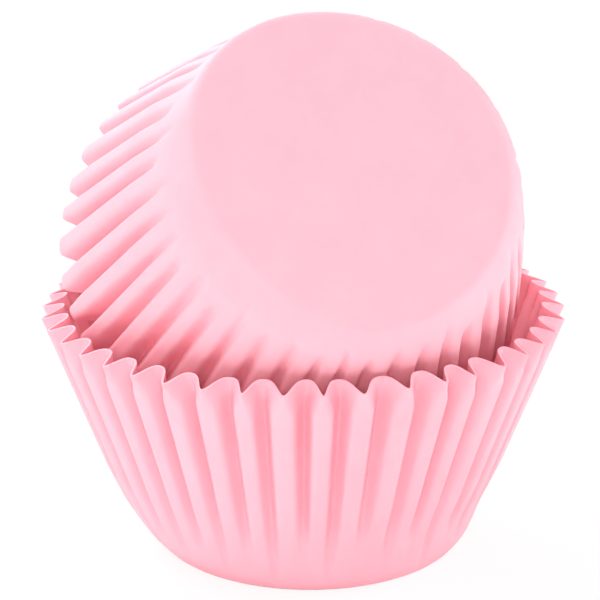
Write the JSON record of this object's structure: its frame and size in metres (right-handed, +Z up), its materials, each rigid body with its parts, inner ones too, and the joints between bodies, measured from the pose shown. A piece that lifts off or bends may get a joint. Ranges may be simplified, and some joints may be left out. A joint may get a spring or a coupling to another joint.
{
  "type": "pleated paper baking cups, one upturned in the other",
  "caption": "Two pleated baking cups of thin pink paper: one stands upright, the other lies upturned and leaning in its mouth.",
  "frame": {"origin": "centre of the standing cup's flat base, on its underside", "axes": "+Z up along the standing cup's axis, -Y towards the front, where the upturned cup's base faces"},
  "size_m": [0.077, 0.0768, 0.0809],
  "materials": {
    "pink_paper": "matt, greaseproof baking paper, dyed pale pink in the pulp"
  },
  "bodies": {
    "root": {"lower_cup": "pink_paper", "upper_cup": "pink_paper"}
  },
  "joints": []
}
